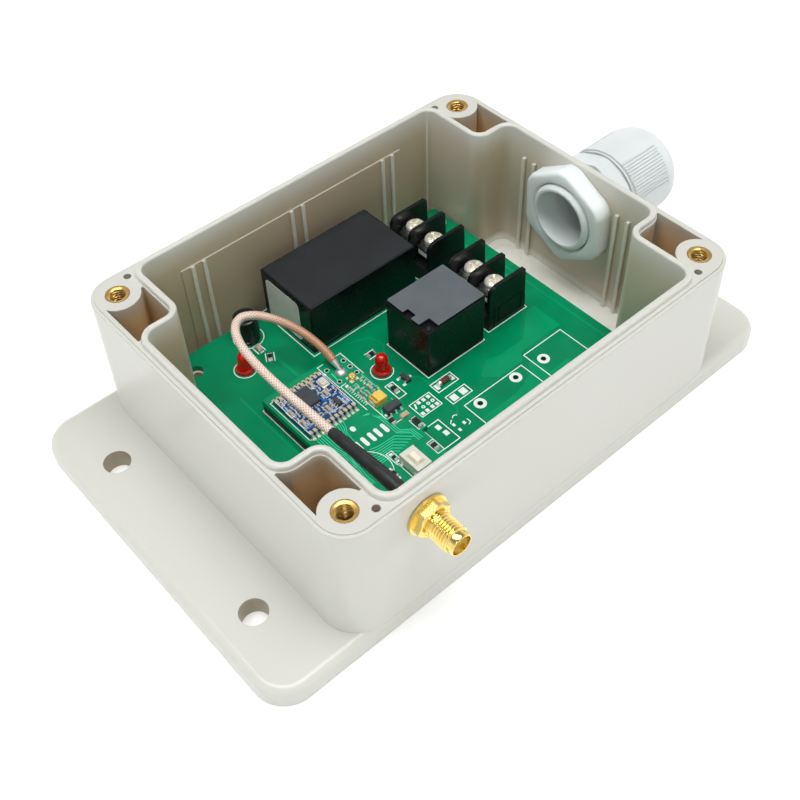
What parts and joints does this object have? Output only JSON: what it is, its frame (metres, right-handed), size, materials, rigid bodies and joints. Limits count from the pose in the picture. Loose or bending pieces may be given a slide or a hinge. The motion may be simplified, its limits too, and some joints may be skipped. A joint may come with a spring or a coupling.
{
  "type": "radio relay receiver",
  "caption": "Open wall-mount enclosure base holding a mains radio relay receiver: board, relay, screw terminals, radio module, coaxial antenna socket and cable gland.",
  "frame": {"origin": "centre of the four mounting holes, on the mounting face", "axes": "+X along the box towards the cable gland, -Y towards the antenna socket's wall, +Z from the mounting face to the open rim"},
  "size_m": [0.1639, 0.1045, 0.0412],
  "materials": {
    "grey_abs": "satin moulded ABS",
    "brass_insert": "machined",
    "board_green": "solder mask over glass-fibre laminate",
    "board_blue": "solder mask over glass-fibre laminate",
    "plated_steel": "nickel plated",
    "black_case": "polished moulding",
    "black_moulding": "moulded",
    "tinned_lead": "tinned",
    "capacitor_sleeve": "shrink sleeve",
    "red_lens": "clear tinted epoxy",
    "ceramic_chip": "ceramic with tinned ends",
    "gold_plate": "gold plated",
    "yellow_moulding": "moulded",
    "switch_white": "moulded",
    "ptfe_white": "turned",
    "copper_jacket": "bare copper braid under clear jacket",
    "sleeve_black": "heat-shrunk",
    "gland_nylon": "moulded nylon",
    "seal_rubber": "moulded"
  },
  "bodies": {
    "receiver": {"enclosure_base": "grey_abs", "lid_inserts": "brass_insert", "main_board": "board_green", "board_screws": "plated_steel", "power_module": "black_case", "power_module_pins": "tinned_lead", "relay_case": "black_case", "relay_pins": "tinned_lead", "supply_terminal_block": "black_moulding", "load_terminal_block": "black_moulding", "terminal_plates": "tinned_lead", "terminal_clamps": "plated_steel", "smoothing_capacitor": "capacitor_sleeve", "power_lamp": "red_lens", "status_lamp": "red_lens", "main_board_chips": "ceramic_chip", "main_board_transistors": "black_moulding", "radio_board": "board_green", "header_strips": "black_moulding", "header_pins": "gold_plate", "radio_module": "board_blue", "radio_chip": "black_moulding", "radio_crystal": "plated_steel", "radio_module_chips": "ceramic_chip", "aerial_socket_small": "gold_plate", "tantalum_capacitor": "yellow_moulding", "voltage_regulator": "black_moulding", "radio_board_chips": "ceramic_chip", "learn_switch": "switch_white", "antenna_socket": "gold_plate", "antenna_insulator": "ptfe_white", "antenna_contact": "gold_plate", "antenna_washer": "gold_plate", "antenna_nut": "gold_plate", "coax_pigtail": "copper_jacket", "heat_shrink_sleeve": "sleeve_black", "coax_solder": "tinned_lead", "gland_gasket": "gland_nylon", "gland_body": "gland_nylon", "gland_locknut": "gland_nylon", "gland_seal": "seal_rubber"},
    "learn_button": {"learn_button": "switch_white"},
    "gland_cap": {"gland_cap": "gland_nylon"},
    "supply_screw_back": {"terminal_screw_1": "plated_steel"},
    "supply_screw_front": {"terminal_screw_2": "plated_steel"},
    "load_screw_back": {"terminal_screw_3": "plated_steel"},
    "load_screw_front": {"terminal_screw_4": "plated_steel"}
  },
  "joints": [
    {"name": "supply_screw_back_turn", "type": "hinge", "parent": "receiver", "child": "supply_screw_back", "pos_m": [0.0272, 0.0289, 0.01945], "axis": [0, 0, 1], "continuous": true},
    {"name": "supply_screw_front_turn", "type": "hinge", "parent": "receiver", "child": "supply_screw_front", "pos_m": [0.0272, 0.0217, 0.01945], "axis": [0, 0, 1], "continuous": true},
    {"name": "load_screw_back_turn", "type": "hinge", "parent": "receiver", "child": "load_screw_back", "pos_m": [0.0272, 0.0068, 0.01945], "axis": [0, 0, 1], "continuous": true},
    {"name": "load_screw_front_turn", "type": "hinge", "parent": "receiver", "child": "load_screw_front", "pos_m": [0.0272, -0.0004, 0.01945], "axis": [0, 0, 1], "continuous": true},
    {"name": "gland_cap_turn", "type": "hinge", "parent": "receiver", "child": "gland_cap", "pos_m": [0.075, 0, 0.027], "axis": [1, 0, 0], "continuous": true},
    {"name": "learn_button_press", "type": "slide", "parent": "receiver", "child": "learn_button", "axis": [0, 0, -1], "range_m": [0, 0.00025], "stiffness_N_per_m": 1500, "springref_m": -0.0003}
  ]
}
